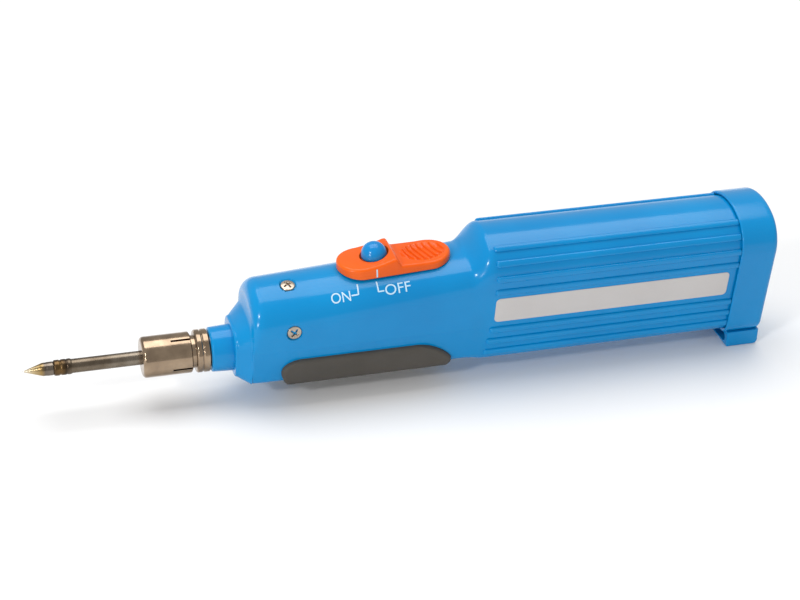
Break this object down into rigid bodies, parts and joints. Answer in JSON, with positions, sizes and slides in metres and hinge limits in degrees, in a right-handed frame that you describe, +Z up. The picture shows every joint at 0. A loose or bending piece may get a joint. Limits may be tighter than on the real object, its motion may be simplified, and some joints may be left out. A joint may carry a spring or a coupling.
{
  "type": "battery soldering iron",
  "caption": "Pen-shaped battery soldering iron: conical tip on a slim heater tube in a slotted collar, slide switch with lock button, ribbed barrel with a pull-off end cap and foot",
  "frame": {"origin": "middle of the part's box in plan, on the flat underside of the end cap's foot", "axes": "+X runs from the tip to the end cap, +Z is up through the slide switch, +Y completes a right-handed frame"},
  "size_m": [0.1868, 0.0242, 0.0393],
  "materials": {
    "blue_shell": "moulded, satin gloss",
    "button_plastic": "moulded, glossy",
    "orange_plastic": "moulded, satin",
    "grip_rubber": "soft, matt",
    "plated_steel": "nickel-plated, turned",
    "heated_steel": "heat-tinted",
    "tip_metal": "plated, tinned point",
    "screw_steel": "zinc-passivated",
    "spring_steel": "drawn wire",
    "contact_brass": "pressed strip",
    "ceramic": "fired, matt",
    "dark_plastic": "moulded, matt",
    "board": "phenolic board",
    "label_foil": "printed film",
    "cell_jacket": "plain shrink sleeve",
    "wire_jacket": "insulated wire"
  },
  "bodies": {
    "body": {"housing": "blue_shell", "nose_ring": "plated_steel", "socket_insulator": "ceramic", "socket_contact": "contact_brass", "socket_block": "dark_plastic", "screw_upper": "screw_steel", "screw_lower": "screw_steel", "grip_pad": "grip_rubber", "rating_label": "label_foil", "switch_plate": "board", "switch_contact_front": "contact_brass", "switch_contact_rear": "contact_brass", "battery_front": "cell_jacket", "battery_lower": "cell_jacket", "battery_upper": "cell_jacket", "front_contact_lower": "plated_steel", "front_contact_upper": "plated_steel", "front_spring_upper": "spring_steel", "wire_positive": "wire_jacket"},
    "cartridge": {"collar_sleeve": "plated_steel", "heater_tube": "heated_steel", "soldering_tip": "tip_metal", "heater_core": "ceramic", "cartridge_pin": "contact_brass"},
    "slider": {"switch_slider": "orange_plastic", "slider_carrier": "dark_plastic", "slider_contact": "contact_brass", "lock_spring": "spring_steel"},
    "button": {"lock_button": "button_plastic"},
    "cap": {"end_cap": "blue_shell", "cap_contact_plate": "plated_steel", "cap_spring": "spring_steel"}
  },
  "joints": [
    {"name": "switch_slide", "type": "slide", "parent": "body", "child": "slider", "axis": [-0.9986, 0, -0.0534], "range_m": [0, 0.0052]},
    {"name": "lock_press", "type": "slide", "parent": "slider", "child": "button", "axis": [0.0534, 0, -0.9986], "range_m": [0, 0.0006], "stiffness_N_per_m": 300, "deforming": ["lock_spring"]},
    {"name": "cartridge_pull", "type": "slide", "parent": "body", "child": "cartridge", "axis": [-1, 0, 0], "range_m": [0, 0.012]},
    {"name": "cap_pull", "type": "slide", "parent": "body", "child": "cap", "axis": [1, 0, 0], "range_m": [0, 0.012]}
  ]
}
